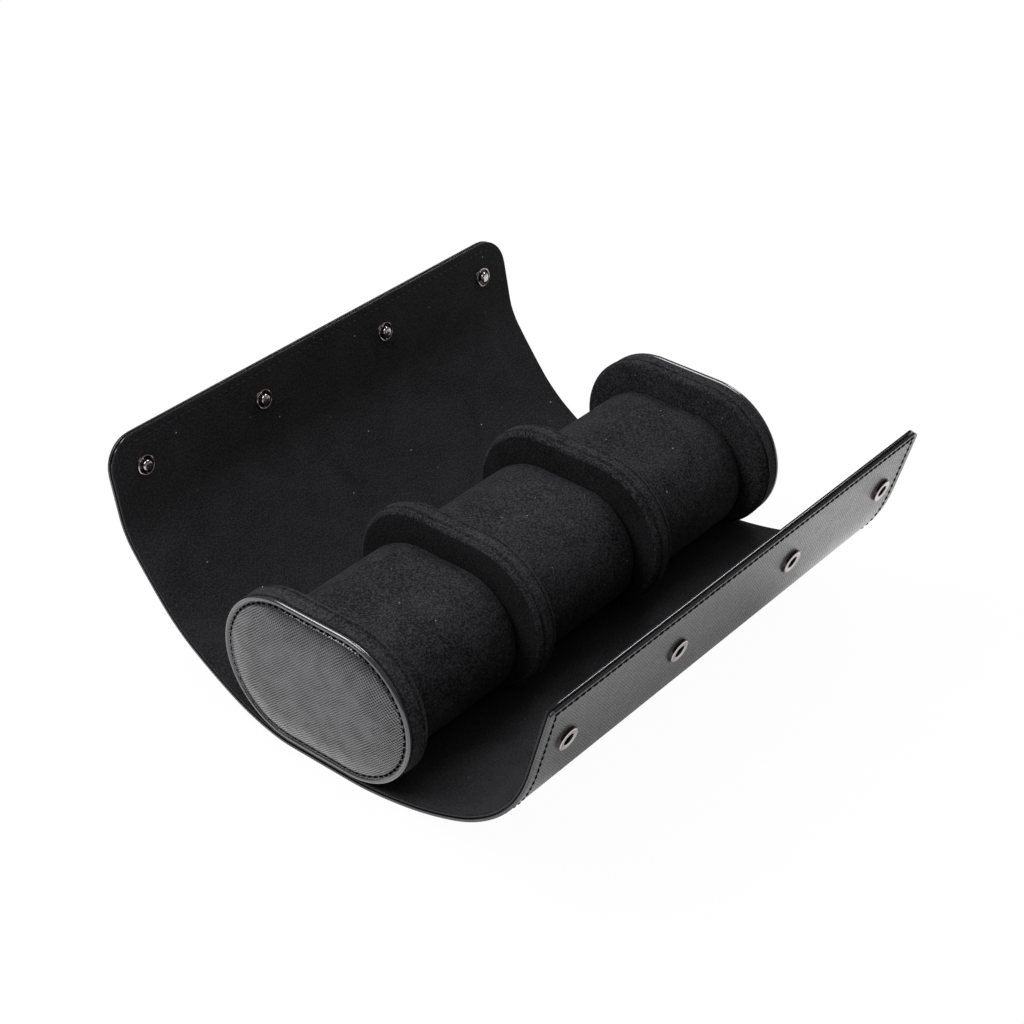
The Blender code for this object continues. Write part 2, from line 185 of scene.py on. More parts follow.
def makeSuedeNap():
    # Short brushed fibres: fine speckle, brushed patches and a few specks of lint
    outputs = ["Speckle", "Brushed", "Lint", "Height"]
    tree, given, result = newGroup("suedeNap", "Lint Amount", outputs)
    place = given.outputs["Vector"]
    fine = noise(tree, place, nap["fibreScale"], roughness=0.75)
    broad = noise(tree, place, nap["brushScale"], 4, distortion=1.2)
    middle = noise(tree, place, nap["patchScale"], 3)
    patches = maths(tree, "ADD", broad, maths(tree, "MULTIPLY", middle, nap["patchShare"]))
    dots = addNode(tree, "ShaderNodeTexVoronoi", {"Vector": place, "Scale": nap["lintScale"]})
    picked = addNode(tree, "ShaderNodeSeparateColor", {"Color": dots.outputs["Color"]})
    share = maths(tree, "MULTIPLY", given.outputs["Lint Amount"], nap["lintShare"])
    chosen = maths(tree, "LESS_THAN", picked.outputs["Red"], share)
    size = remap(tree, picked.outputs["Blue"], 0, 1, *nap["lintSize"])
    near = maths(tree, "LESS_THAN", dots.outputs["Distance"], size)
    bright = maths(tree, "MULTIPLY", chosen, remap(tree, picked.outputs["Green"], 0, 1, 0.05, 1.0))
    setInputs(tree, result, {
        "Speckle": remap(tree, fine, 0.46, 0.58),
        "Brushed": remap(tree, patches, 0.475, 0.875),
        "Lint": maths(tree, "MULTIPLY", bright, near),
        "Height": maths(tree, "ADD", fine, maths(tree, "MULTIPLY", middle, 1.5)),
    })
    return tree


hatchedGrain = makeHatchedGrain()
suedeNap = makeSuedeNap()


finish = {}  # every material, by name


def startMaterial(name, place):
    # place is "sheet" for the flat pattern of the wrap, "solid" for a rigid piece, or "face"
    # for the leather of the end caps
    material = finish[name] = bpy.data.materials.new(name)
    material.use_nodes = True
    tree = material.node_tree
    if place == "sheet":
        source = addNode(tree, "ShaderNodeUVMap", uv_map="pattern").outputs["UV"]
    else:
        source = addNode(tree, "ShaderNodeTexCoord").outputs["Object"]
    return tree, tree.nodes["Principled BSDF"], source


def mixColours(tree, share, first, second):
    # first may be a socket. The node's colour sockets are inputs 6 and 7, and output 2
    if not isinstance(first, bpy.types.NodeSocket):
        first = (*first, 1)
    inputs = {"Factor": share, 6: first, 7: (*second, 1)}
    return addNode(tree, "ShaderNodeMix", inputs, data_type="RGBA").outputs[2]


def bump(tree, height, strength, distance):
    inputs = {"Height": height, "Strength": strength, "Distance": distance}
    return addNode(tree, "ShaderNodeBump", inputs).outputs[0]


leather = {
    "tint": (0.98, 0.94, 1.0, 1),
    "betweenRibs": 0.25,  # roughness added between the ribs
    "sideRoughness": 0.7,  # of the dull side edges
    "cutDarker": 0.4,  # how far the cut edge lies below the dark colour
}


def makeLeather(name, place, dark, light, roughness, relief, coat=0.0, hatch=0.5, mottled=0.2,
                specular=0.5, breakup=0.1, coatRoughness=0.2, coatRatio=1.5, within=None, cut=None):
    # hatch is how much of the coat the ribs carry. The coat is kept to |x| below within, and
    # the surface past cut, along the wrap, is a dull cut edge
    tree, shader, source = startMaterial(name, place)
    parts = addNode(tree, "ShaderNodeSeparateXYZ", {"Vector": source}).outputs
    if place == "face":
        swapped = {"X": parts["Y"], "Y": parts["Z"], "Z": parts["X"]}
        source = addNode(tree, "ShaderNodeCombineXYZ", swapped).outputs[0]
    given = {"Vector": source, "Breakup": breakup}
    ribs = addNode(tree, "ShaderNodeGroup", given, node_tree=hatchedGrain)
    ridge = remap(tree, ribs.outputs["Ridge"], 0.1, 0.44)
    mottle = maths(tree, "MULTIPLY", ribs.outputs["Mottle"], mottled)
    shade = maths(tree, "ADD", maths(tree, "MULTIPLY", ridge, 1 - mottled), mottle)
    gloss, rough = coat, roughness
    if within:
        near = maths(tree, "LESS_THAN", maths(tree, "ABSOLUTE", parts["X"]), within)
        gloss = remap(tree, near, 0, 1, 0.0, coat)
        rough = remap(tree, near, 0, 1, leather["sideRoughness"], roughness)
    elif coat:
        gloss = remap(tree, ridge, 0, 1, coat * (1 - hatch), coat)
        rough = remap(tree, ridge, 0, 1, roughness + leather["betweenRibs"] * hatch, roughness)
    if cut:
        whole = maths(tree, "GREATER_THAN", parts["Y"], -cut)
        gloss = maths(tree, "MULTIPLY", gloss, whole)
        rough = maths(tree, "MAXIMUM", rough, remap(tree, whole, 0, 1, 1.0, 0.0))
        shade = maths(tree, "MULTIPLY", whole, maths(tree, "ADD", shade, leather["cutDarker"]))
        shade = maths(tree, "SUBTRACT", shade, leather["cutDarker"])
    setInputs(tree, shader, {
        "Base Color": mixColours(tree, shade, dark, light),
        "Roughness": rough,
        "Coat Weight": gloss,
        "Coat Roughness": coatRoughness,
        "Coat IOR": coatRatio,
        "Specular IOR Level": specular,
        "Specular Tint": leather["tint"],
        "Normal": bump(tree, ribs.outputs["Height"], 1.0, relief),
    })


suede = {
    "speckleShare": 0.72,  # the rest of the shading is the brushed patches
    "lint": (0.45, 0.45, 0.45),
    "sheenTint": (0.5, 0.5, 0.53, 1),
    "relief": 0.3 * mm,
}


def makeSuede(name, place, dark, light, sheen, lint=0.5):
    tree, shader, source = startMaterial(name, place)
    given = {"Vector": source, "Lint Amount": lint}
    fibres = addNode(tree, "ShaderNodeGroup", given, node_tree=suedeNap)
    speckle = maths(tree, "MULTIPLY", fibres.outputs["Speckle"], suede["speckleShare"])
    patches = maths(tree, "MULTIPLY", fibres.outputs["Brushed"], 1 - suede["speckleShare"])
    colour = mixColours(tree, maths(tree, "ADD", speckle, patches), dark, light)
    setInputs(tree, shader, {
        "Base Color": mixColours(tree, fibres.outputs["Lint"], colour, suede["lint"]),
        "Roughness": 0.95,
        "Specular IOR Level": 0.2,
        "Sheen Weight": sheen,
        "Sheen Roughness": 0.45,
        "Sheen Tint": suede["sheenTint"],
        "Normal": bump(tree, fibres.outputs["Height"], 0.6, suede["relief"]),
    })


def makeThread(name, dark, light, roughness, specular, twistScale=2600):
    tree, shader, source = startMaterial(name, "sheet")
    twist = noise(tree, source, twistScale)
    setInputs(tree, shader, {
        "Base Color": mixColours(tree, twist, (dark,) * 3, (light,) * 3),
        "Roughness": roughness,
        "Specular IOR Level": specular,
    })


plate = {"cloudScale": 700, "scuffScale": 2500, "roughness": (0.14, 0.26), "relief": 0.05 * mm}


def makeGunmetal(name, dark, light):
    tree, shader, source = startMaterial(name, "solid")
    cloud = noise(tree, source, plate["cloudScale"], 3)
    scuffs = noise(tree, source, plate["scuffScale"])
    setInputs(tree, shader, {
        "Base Color": mixColours(tree, cloud, dark, light),
        "Roughness": remap(tree, cloud, 0.3, 0.7, *plate["roughness"]),
        "Metallic": 1.0,
        "Normal": bump(tree, scuffs, 0.2, plate["relief"]),
    })


def makeHidden(name, dark, light, scale):
    # Board and foam, which show only if the case is taken apart
    tree, shader, source = startMaterial(name, "solid")
    cells = noise(tree, source, scale, 4)
    setInputs(tree, shader, {
        "Base Color": mixColours(tree, cells, dark, light),
        "Roughness": 0.9,
        "Normal": bump(tree, cells, 0.6, 0.2 * mm),
    })


outer = {  # the wrap's leather
    "dark": (0.006, 0.006, 0.007),
    "light": (0.02, 0.02, 0.022),
    "roughness": 0.25,
    "relief": 0.1 * mm,
    "coat": 0.8,
    "hatch": 0.6,
}
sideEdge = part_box("base_leather")[1].x - 0.8 * mm  # the wrap's edges past this x are dull
makeLeather("outerLeather", "sheet", **outer)
makeLeather(
    "faceLeather", "face", (0.001, 0.001, 0.0011), (0.042, 0.039, 0.048), 0.3, 0.55 * mm, 1.0, 1.0,
    mottled=0.05, specular=0.3, coatRatio=2.05,
)
makeLeather(
    "weltLeather", "face", (0.015, 0.015, 0.016), (0.03, 0.03, 0.032), 0.2, 0.02 * mm, 1.0, 0.1,
    specular=1.0, coatRoughness=0.12,
)
makeLeather(
    "edgeLeather", "sheet", (0.004, 0.004, 0.0045), (0.008, 0.008, 0.009), 0.2, 0.003 * mm, 1.0, 0.0,
    specular=0.7, breakup=0.0, coatRoughness=0.1, within=sideEdge,
)
makeLeather(
    "dullEdge", "sheet", (0.004, 0.004, 0.0045), (0.010, 0.010, 0.011), 0.5, 0.01 * mm, 0.0, 0.2,
    specular=0.3,
)
makeSuede("suedeLining", "sheet", (0.005, 0.005, 0.0058), (0.025, 0.025, 0.028), 0.03, lint=0.2)
makeSuede("suedeCover", "solid", (0.001, 0.001, 0.0016), (0.04, 0.04, 0.044), 0.06)
# painted shade: a darker copy of the cover suede for the dividers' two faces, standing in for the shade on
# them
makeSuede("suedePaintedShade", "solid", (0.0005, 0.0005, 0.001), (0.02, 0.02, 0.0225), 0.02)
makeSuede("suedePillow", "solid", (0.0005, 0.0005, 0.001), (0.034, 0.034, 0.038), 0.03)
makeThread("blackThread", 0.001, 0.003, 0.9, 0.05)
makeThread("liningThread", 0.007, 0.02, 0.6, 0.3)
makeGunmetal("gunmetalPlate", (0.5, 0.45, 0.45), (0.66, 0.61, 0.61))
# painted shade: a darker copy of the gunmetal, put on the socket's side wall and in the stud's cup, standing
# in for the shade and dark reflections there
makeGunmetal("gunmetalPaintedShade", (0.035, 0.03, 0.03), (0.07, 0.06, 0.058))
makeHidden("stiffenerBoard", (0.22, 0.20, 0.17), (0.34, 0.32, 0.28), 900)
makeHidden("pillowFoam", (0.50, 0.50, 0.48), (0.66, 0.66, 0.64), 2400)
print("finishes made:", len(finish))


# Mesh building

weld = 0.002 * mm  # points closer than this are joined


def newPiece(name, points, faces, material, smoothAngle=35, uvs=None):
    mesh = bpy.data.meshes.new(name)
    mesh.from_pydata([tuple(p) for p in points], [], faces)
    if uvs is not None:
        layer = mesh.uv_layers.new(name="pattern")
        corners = np.zeros(len(mesh.loops), int)
        mesh.loops.foreach_get("vertex_index", corners)
        layer.data.foreach_set("uv", np.asarray(uvs, float)[corners].ravel())
    bm = bmesh.new()
    bm.from_mesh(mesh)
    bmesh.ops.remove_doubles(bm, verts=bm.verts, dist=weld)
    bmesh.ops.recalc_face_normals(bm, faces=bm.faces)
    bm.to_mesh(mesh)
    bm.free()
    mesh.shade_smooth()
    mesh.set_sharp_from_angle(angle=math.radians(smoothAngle))
    mesh.materials.append(material)
    piece = bpy.data.objects.new(name, mesh)
    bpy.context.scene.collection.objects.link(piece)
    return piece


def latticeFaces(rows, columns, first=0, closed=False):
    # Quads over rows of points, and round each row if closed
    faces = []
    for j in range(rows - 1):
        for i in range(columns if closed else columns - 1):
            a, b = j * columns + i, j * columns + (i + 1) % columns
            faces.append(tuple(first + k for k in (a, b, b + columns, a + columns)))
    return faces


# Curve of the wrap at rest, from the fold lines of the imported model

wrap = {
    "thickness": 2.7 * mm,
    "flat": 26.0 * mm,  # level part under the rims
    "half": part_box("base_leather")[1].x,  # half the length of the roll
    "tabBend": (11.0 * mm, math.radians(9)),
    "tabFlat": 27.0 * mm,
    "flapBend": (12.5 * mm, math.radians(25)),
    "flapFlat": 27.0 * mm,
    "flapCorner": (12.0 * mm, 12.0 * mm),
    "tabCorner": (1.4 * mm, 3.2 * mm),  # near end and far end
    "tipSeam": {"front": 1.7 * mm, "back": 3.2 * mm},  # from the free edge to its stitches
    "leastCorner": 0.4 * mm,
    "rowStep": 1.1 * mm,
    "columnStep": 9.0 * mm,
    "inward": (6.0 * mm, 8.5 * mm, 12.0 * mm),  # insets of the rows of points inside the seam
}


def arcsThrough(points):
    # Arcs that run on smoothly through points (out, up), the first one starting level
    arcs, slope = [], 0.0
    for a, b in zip(points, points[1:]):
        chord = b - a
        bend = 2 * (math.atan2(chord.y, chord.x) - slope)
        arcs.append((chord.length * (bend / 2) / math.sin(bend / 2), bend))
        slope += bend
    return arcs


def arcStep(knot, length, turn):
    # (s, out, up, slope) at the end of an arc that starts at knot
    s, out, up, slope = knot
    chord = length * (math.sin(turn / 2) / (turn / 2) if abs(turn) > 1e-9 else 1.0)
    middle = slope + turn / 2
    return s + length, out + chord * math.cos(middle), up + chord * math.sin(middle), slope + turn


def makeWall(name, side, panel, bend, flat):
    folds = [f"{name}_fold_{k}" for k in range(1, 5)] + [f"{panel}_fold"]
    start = Vector((wrap["flat"] / 2, wrap["thickness"]))
    hinges = [Vector((abs(joints[f]["pos_m"][1]), joints[f]["pos_m"][2])) for f in folds]
    arcs = arcsThrough([start] + hinges) + [bend, (flat, 0.0)]
    knots = [(0.0, start.x, start.y, 0.0)]
    for length, turn in arcs:
        knots.append(arcStep(knots[-1], length, turn))
    foldAt = [knot[0] for knot in knots[1:6]]
    middles = [0.0] + [(a + b) / 2 for a, b in zip(foldAt, foldAt[1:])]
    middles.append(foldAt[4] + bend[0] * 0.8)  # where the stiff panel starts
    bodies = ["case"] + [f"{name}_wall_{k}" for k in range(1, 5)] + [panel]
    return {
        "name": name, "side": side, "panel": panel, "arcs": arcs, "knots": knots,
        "middles": middles, "bodies": bodies, "tip": knots[-1][0],
    }


walls = {
    "front": makeWall("front", -1, "tab", wrap["tabBend"], wrap["tabFlat"]),
    "back": makeWall("back", 1, "flap", wrap["flapBend"], wrap["flapFlat"]),
}


def along(wall, s):
    # Distance out, height and slope of the lining's surface, s along it from the level part
    if s <= 0:
        return wrap["flat"] / 2 + s, wrap["thickness"], 0.0
    for knot, (length, turn) in zip(wall["knots"], wall["arcs"]):
        if s <= knot[0] + length + 1e-9:
            break
    step = s - knot[0]
    return arcStep(knot, step, turn * step / length)[1:]


sway = {
    "size": 0.35 * mm,  # how far the flexible wrap wanders from its even curve
    "start": 12 * mm,
    "fadeIn": 40 * mm,
    "fadeOut": 15 * mm,
    "waves": (41, 55),  # across and along, in radians a metre
}


def outward(wall, x, s):
    # Small unevenness of the wrap, always away from the rims
    fade = min(max((s - sway["start"]) / sway["fadeIn"], 0.0), 1.0)
    fade *= min(max((wall["middles"][5] - s) / sway["fadeOut"], 0.0), 1.0)
    across, lengthwise = sway["waves"]
    wave = math.sin(x * across + wall["side"]) * math.sin(s * lengthwise + 2.1) * 0.5 + 0.5
    return sway["size"] * wave * fade


def sheetPoint(wall, x, s, depth):
    out, up, slope = along(wall, s)
    lower = depth + outward(wall, x, s)
    return Vector((x, wall["side"] * (out + lower * math.sin(slope)), up - lower * math.cos(slope)))


stitch = {
    "pitch": 3.0 * mm,
    "length": 2.4 * mm,
    "thickness": 0.4 * mm,  # radius of the thread
    "inset": 3.2 * mm,  # from the long edges
    "alongTip": (1.5, 1.5, 1.0),  # stretch of the stitches along the tab's and flap's free edges
    "grooveSteps": (-1.6, -1.0, -0.5, 0.0, 0.5, 1.0, 1.6),  # rows of points over it, in half widths
    "grooveFall": 3.5,  # how sharply it ends
    "cornerSteps": 10,
    "rings": 6,
    "sides": 6,
}


def rimInsets(radius, steps=4):
    # Insets at even steps round a quarter circle
    return [radius * (1 - math.cos(math.pi / 2 * k / steps)) for k in range(steps + 1)]


def rimDrop(inset, radius):
    # How far a rounded edge lies below its face at an inset
    return radius - math.sqrt(max(radius**2 - max(radius - inset, 0.0) ** 2, 0.0))


def roundCorner(x, s, half, tip, radius):
    # Moves a point of a square corner to a corner rounded by radius, and gives its inset
    inX, inS = half - abs(x), tip - s
    if inX >= radius or inS >= radius:
        return x, s, min(inX, inS)
    u, v = 1 - inX / radius, 1 - inS / radius
    reach = max(u, v)
    angle = 0.0
    if reach > 0:
        angle = math.pi / 4 * v / u if u >= v else math.pi / 2 - math.pi / 4 * u / v
    x = math.copysign(half - radius + radius * reach * math.cos(angle), x)
    return x, tip - radius + radius * reach * math.sin(angle), radius * (1 - reach)


def cornerOf(wall, x, inset):
    near, far = wrap["flapCorner"] if wall["name"] == "back" else wrap["tabCorner"]
    return max((near if x < 0 else far) - inset, 0.0)


def makeSlab(name, wall, span, layer):
    # One layer of the wrap between two distances along it, with rolled outer edges
    low, high = span
    free = high > wall["tip"] - 1e-6
    edge, (top, bottom) = layer["edge"], layer["depths"]
    half = wrap["half"] - edge
    tip = wall["tip"] - edge if free else high
    radius = (bottom - top) / 2
    narrow = stitch["inset"] / wrap["tipSeam"][wall["name"]]
    sharp = layer.get("sharp", 1.0)
    seam = []
    if "groove" in layer:
        centre, width = stitch["inset"] - edge, layer["groove"]
        seam += [centre + width * k for k in stitch["grooveSteps"]]
    rolled = [inset / sharp for inset in rimInsets(radius)]
    insets = [*rolled, *seam, *wrap["inward"]]
    rowInsets = [*rolled, *(d / narrow for d in seam), *wrap["inward"]]
    inner = half - insets[-1]
    count = max(2, math.ceil(2 * inner / wrap["columnStep"]))
    xs = [-half + d for d in insets] + [inner * (2 * k / count - 1) for k in range(1, count)]
    xs += [half - d for d in reversed(insets)]
    end = tip - insets[-1] if free else tip
    steps = max(1, math.ceil((end - low) / wrap["rowStep"]))
    ss = [low + (end - low) * k / steps for k in range(steps + 1)]
    if free:
        ss += [tip - d for d in reversed(rowInsets[:-1])]

    points, uvs = [], []
    for face in (0, 1):
        for s in ss:
            for x in xs:
                if free:
                    corner = max(cornerOf(wall, x, edge), wrap["leastCorner"])
                    px, ps, inset = roundCorner(x, s, half, tip, corner)
                else:
                    px, ps, inset = x, s, half - abs(x)
                drop = rimDrop(inset * sharp, radius)
                if "groove" in layer and layer["grooveFace"] == face:
                    across = inset + edge
                    if free and narrow > 1:
                        across = min(wrap["half"] - abs(px), (wall["tip"] - ps) * narrow)
                    offset = (across - stitch["inset"]) / layer["groove"]
                    drop += layer["grooveDepth"] * math.exp(-stitch["grooveFall"] * offset**2)
                drop += layer["crease"](wall, ps) if face == 0 and "crease" in layer else 0.0
                points.append(sheetPoint(wall, px, ps, bottom - drop if face else top + drop))
                uvs.append((px, ps * wall["side"]))
    rows, columns = len(ss), len(xs)
    under = rows * columns
    faces = latticeFaces(rows, columns) + latticeFaces(rows, columns, under)
    for row in (0,) if free else (0, rows - 1):
        a = row * columns
        faces += [(a + i, a + i + 1, under + a + i + 1, under + a + i) for i in range(columns - 1)]
    return newPiece(name, points, faces, finish[layer[wall["name"]]], uvs=uvs)


def segments(wall):
    # (number, low, high) of the stretches that bend over one fold line each
    return [(k, wall["middles"][k - 1], wall["middles"][k]) for k in range(1, 6)]


def carry(piece, wall, number):
    # Bakes a piece of stretch `number` into place; the ends of the stretch are found but not used
    low, high = wall["middles"][number - 1], wall["middles"][number]
    start = sheetPoint(wall, 0.0, low, wrap["thickness"] / 2)
    end = sheetPoint(wall, 0.0, high, wrap["thickness"] / 2)
    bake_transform(piece)


crease = {"fromTip": 31 * mm, "width": 1.6 * mm, "depth": 0.07 * mm}


def boardCrease(wall, s):
    # Line across the lining where the flap's stiffener ends
    if wall["name"] == "front":
        return 0.0
    offset = (s - (wall["tip"] - crease["fromTip"])) / crease["width"]
    return crease["depth"] * math.exp(-(offset**2))


layers = {  # front and back are the finishes on the two walls
    "leather": {
        "edge": 0.0, "depths": (1.72 * mm, 2.70 * mm),
        "groove": 0.55 * mm, "grooveDepth": 0.6 * mm, "grooveFace": 1,  # groove is its half width
        "sharp": 7.0,  # how much tighter than a half round its edge is
        "front": "tabLeather", "back": "outerLeather", "slot": "black_leather",
    },
    "ply": {
        "edge": 0.75 * mm, "depths": (0.9 * mm, 1.95 * mm),
        "front": "dullEdge", "back": "dullEdge", "slot": "black_leather",
    },
    "edging": {
        "edge": 0.1 * mm, "depths": (0.25 * mm, 1.2 * mm),
        "front": "edgeLeather", "back": "edgeLeather", "slot": "black_leather",
    },
    "lining": {
        "edge": 0.12 * mm, "depths": (0.0, 0.62 * mm),
        "groove": 0.6 * mm, "grooveDepth": 0.12 * mm, "grooveFace": 0, "crease": boardCrease,
        "front": "suedeLining", "back": "suedeLining", "slot": "black_suede",
    },
}
makeLeather("tabLeather", "sheet", **outer, cut=walls["front"]["tip"] - 0.1 * mm)


def replacedNodes(layer, wall, part):
    # CAD nodes that a stretch of the wrap stands for, the fifth being part of the panel
    kind = "lining" if layer == "lining" else "leather"
    if part in (5, "panel"):
        return [f"{wall['panel']}_{kind}"]
    return [f"{wall['name']}_{part}_{kind}"]


def makeWrap():
    for layer, shape in layers.items():
        middle = makeSlab(f"wrap_{layer}_base", walls["front"], (-wrap["flat"], 0.0), shape)
        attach(middle, "case")
        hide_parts("base_lining" if layer == "lining" else "base_leather")
        for wall in walls.values():
            for number, low, high in segments(wall):
                piece = makeSlab(f"wrap_{layer}_{wall['name']}_{number}", wall, (low, high), shape)
                carry(piece, wall, number)
                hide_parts(*replacedNodes(layer, wall, number))
            span = (wall["middles"][5], wall["tip"])
            piece = makeSlab(f"wrap_{layer}_{wall['panel']}", wall, span, shape)
            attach(piece, wall["panel"])
            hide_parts(*replacedNodes(layer, wall, "panel"))


makeWrap()
print("wrap built")


# Stitching

def stitchShape(length, thickness, rise=0.16 * mm, sink=0.36 * mm):
    # One stitch along X with Z up, arched so that its ends go down into the hole
    points = []
    for j in range(stitch["rings"] + 1):
        t = 2 * j / stitch["rings"] - 1
        radius = thickness * math.sqrt(max(1 - abs(t) ** 3, 0.0))
        for i in range(stitch["sides"]):
            angle = 2 * math.pi * i / stitch["sides"]
            height = rise - sink * t**4 + radius * math.sin(angle)
            points.append(Vector((t * length / 2, radius * math.cos(angle), height)))
    faces = latticeFaces(stitch["rings"] + 1, stitch["sides"], closed=True)
    return points, faces


def stitchPiece(name, places, length, thickness, material="blackThread"):
    # places are matrices with X along the seam and Z out of the surface
    shape, shapeFaces = stitchShape(length, thickness)
    points, faces, uvs = [], [], []
    for place in places:
        first = len(points)
        moved = [place @ p for p in shape]
        points += moved
        uvs += [(p.x + 0.3 * p.z, p.y) for p in moved]
        faces += [tuple(first + k for k in face) for face in shapeFaces]
    return newPiece(name, points, faces, finish[material], 60, uvs)


def frameOf(position, forward, up):
    x = forward.normalized()
    y = up.cross(x).normalized()
    turn = Matrix((x, y, x.cross(y))).transposed().to_4x4()
    return Matrix.Translation(position) @ turn


def outline(wall, inset):
    # Path (x, s) of the wrap's edge from the level part, round its free end and back
    half, tip = wrap["half"] - inset, wall["tip"] - wrap["tipSeam"][wall["name"]]
    halves = []
    for side in (-1, 1):
        radius = cornerOf(wall, side, inset)
        path = [(side * half, 0.0), (side * half, tip - radius)]
        for k in range(1, stitch["cornerSteps"] + 1) if radius > 0 else ():
            angle = math.pi / 2 * k / stitch["cornerSteps"]
            inX, inS = radius * (1 - math.cos(angle)), radius * (1 - math.sin(angle))
            path.append((side * (half - inX), tip - inS))
        halves.append(path)
    return halves[0] + halves[1][::-1]


def evenly(path, pitch):
    # Points at even steps along a path, each with its direction
    points = [Vector(p) for p in path]
    total = sum((b - a).length for a, b in zip(points, points[1:]))
    count = round(total / pitch)
    found, walked, k = [], 0.0, 0
    for n in range(count):
        goal = (n + 0.5) * total / count
        while walked + (points[k + 1] - points[k]).length < goal:
            walked += (points[k + 1] - points[k]).length
            k += 1
        way = points[k + 1] - points[k]
        found.append((points[k] + way.normalized() * (goal - walked), way.normalized()))
    return found


def sheetFrame(wall, x, s, direction, depth, outside):
    small = 0.2 * mm
    here = sheetPoint(wall, x, s, depth)
    ahead = sheetPoint(wall, x + direction.x * small, s + direction.y * small, depth)
    above = sheetPoint(wall, x, s, depth + small if outside else depth - small)
    return frameOf(here, ahead - here, above - here)


stitchedFaces = {  # depth in the wrap, on its outside or not, radius of the thread and its finish
    "leather": (wrap["thickness"] - 0.25 * mm, True, stitch["thickness"], "blackThread"),
    "lining": (0.3 * mm, False, 0.3 * mm, "liningThread"),
}


def makeWrapStitches():
    edge = wrap["half"] - stitch["inset"]
    under = [(k + 1.5) * stitch["pitch"] - wrap["flat"] for k in range(8)]  # along the level part
    for layer, (depth, outside, thickness, material) in stitchedFaces.items():
        thread = stitch["length"], thickness, material
        places = [
            sheetFrame(walls["front"], x, s, Vector((0, 1)), depth, outside)
            for x in (-edge, edge) for s in under
        ]
        piece = stitchPiece(f"stitches_{layer}_base", places, *thread)
        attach(piece, "case")
        for wall in walls.values():
            groups = {}
            for place, direction in evenly(outline(wall, stitch["inset"]), stitch["pitch"]):
                number = next((k for k, _, high in segments(wall) if place.y <= high), 6)
                here = sheetFrame(wall, place.x, place.y, direction, depth, outside)
                if abs(direction.x) > 0.9 and outside:
                    here = here @ Matrix.Diagonal((*stitch["alongTip"], 1.0))
                groups.setdefault(number, []).append(here)
            for number, places in groups.items():
                part = f"{wall['name']}_{number}" if number <= 5 else wall["panel"]
                piece = stitchPiece(f"stitches_{layer}_{part}", places, *thread)
                if number <= 5:
                    carry(piece, wall, number)
                else:
                    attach(piece, wall["panel"])


makeWrapStitches()
print("wrap stitched")


# Rims: end caps and dividers share one racetrack outline

rim = {
    "width": 84.0 * mm,
    "height": 58.0 * mm,
    "centre": 32.0 * mm,  # height of its middle
    "arcSteps": 48,
    "flatSteps": 12,
}


def racetrack(width, height, inset):
    # Points (y, z) of the outline, anticlockwise seen from +X
    flat, radius = (width - height) / 2, max(height / 2 - inset, 0.0)
    path = []
    for side in (1, -1):
        for k in range(rim["arcSteps"] + 1):
            angle = math.pi * (k / rim["arcSteps"] - 0.5)
            path.append((side * (flat + radius * math.cos(angle)), side * radius * math.sin(angle)))
        for k in range(1, rim["flatSteps"]):
            path.append((side * flat * (1 - 2 * k / rim["flatSteps"]), side * radius))
    return path


def loft(name, width, height, centre, sections, material, slot, facing=1, angle=35):
    # Closed body over racetracks; sections are (x, inset), and an inset of half the height closes an end
    points = []
    for x, inset in sections:
        points += [Vector((facing * x, y, centre + z)) for y, z in racetrack(width, height, inset)]
    columns = len(points) // len(sections)
    faces = latticeFaces(len(sections), columns, closed=True)
    return newPiece(name, points, faces, material, angle)


def rimLoft(name, sections, material, slot, facing=1):
    size = rim["width"], rim["height"], rim["centre"]
    return loft(name, *size, sections, finish[material], slot, facing)


def rimSections(low, high, radius, step=0.28 * mm):
    # Sections (x, inset) across a rim whose two edges are rounded
    edge = rimInsets(radius, 6)
    count = max(1, round((high - low - 2 * radius) / step))
    flat = [radius + (high - low - 2 * radius) * k / count for k in range(1, count)]
    xs = edge + flat + [high - low - d for d in reversed(edge)]
    return [(low + x, rimDrop(min(x, high - low - x), radius)) for x in xs]


def seamDip(x, inset, seams, width=0.4 * mm, depth=0.75 * mm):
    # Sinks a section where a seam runs round the rim, with a small swell on each side
    for seam in seams:
        offset = (x - seam) / width
        inset += depth * (math.exp(-(offset**2)) - 0.35 * math.exp(-((abs(offset) - 1.8) ** 2)))
    return x, inset


def closedEnds(sections, half):
    # Adds a flat face at both ends, in rings
    first, last = sections[0][0], sections[-1][0]
    rings = (1.0, 0.7, 0.35)
    return [(first, half * k) for k in rings] + sections + [(last, half * k) for k in reversed(rings)]


divider = {
    "rounding": 1.7 * mm,
    "seamIn": 2.3 * mm,  # from each face to the seam round its edge
    "crown": 0.8 * mm,  # how far the padded edge swells between its faces
    "above": 0.12 * mm,  # how far its middle stands past the rims' outline
}


def makeDivider(number):
    low, high = (corner.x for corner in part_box(f"divider_{number}_cover"))
    seams = (low + divider["seamIn"], high - divider["seamIn"])
    sections = []
    for x, inset in rimSections(low, high, divider["rounding"]):
        inset += divider["crown"] * math.cos(math.pi * (x - low) / (high - low)) ** 2 - divider["above"]
        sections.append(seamDip(x, inset, seams))
    sections = closedEnds(sections, rim["height"] / 2)
    piece = rimLoft(f"divider_{number}_suede", sections, "suedeCover", "black_suede")
    piece.data.materials.append(finish["suedePaintedShade"])  # painted shade: a darker suede on the two faces, for the shade they lie in
    for face in piece.data.polygons:
        face.material_index = 1 if abs(face.normal.x) > 0.95 else 0
    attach(piece, "case")
    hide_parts(f"divider_{number}_cover")


for number in (1, 2):
    makeDivider(number)


